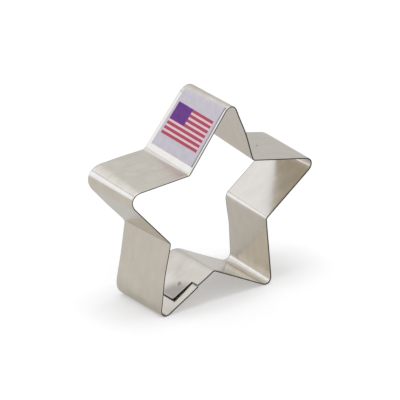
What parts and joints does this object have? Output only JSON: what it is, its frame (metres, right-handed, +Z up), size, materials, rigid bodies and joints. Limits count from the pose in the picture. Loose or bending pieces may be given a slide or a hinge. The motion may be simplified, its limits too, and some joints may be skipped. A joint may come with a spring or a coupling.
{
  "type": "cookie cutter",
  "caption": "Star-shaped cookie cutter: a thin strip of tinned steel bent on edge into a star, its ends lapped and spot welded, with a paper label on one wall.",
  "frame": {"origin": "bottom centre of the part's box, on the surface that the star stands on", "axes": "the star lies in the XZ plane with +Z up through its top tip's side, the strip's width runs along Y, and the cutting edge faces -Y"},
  "size_m": [0.0828, 0.0254, 0.0748],
  "materials": {
    "tinplate": "tinned steel with a fine rolled grain along the strip, satin, raw cut edges",
    "weld_steel": "spot weld nuggets, slightly dull and ringed",
    "label_paper": "pale coated paper with a violet and red printed design"
  },
  "bodies": {
    "root": {"cutter_band": "tinplate", "spot_welds": "weld_steel", "label": "label_paper"}
  },
  "joints": []
}
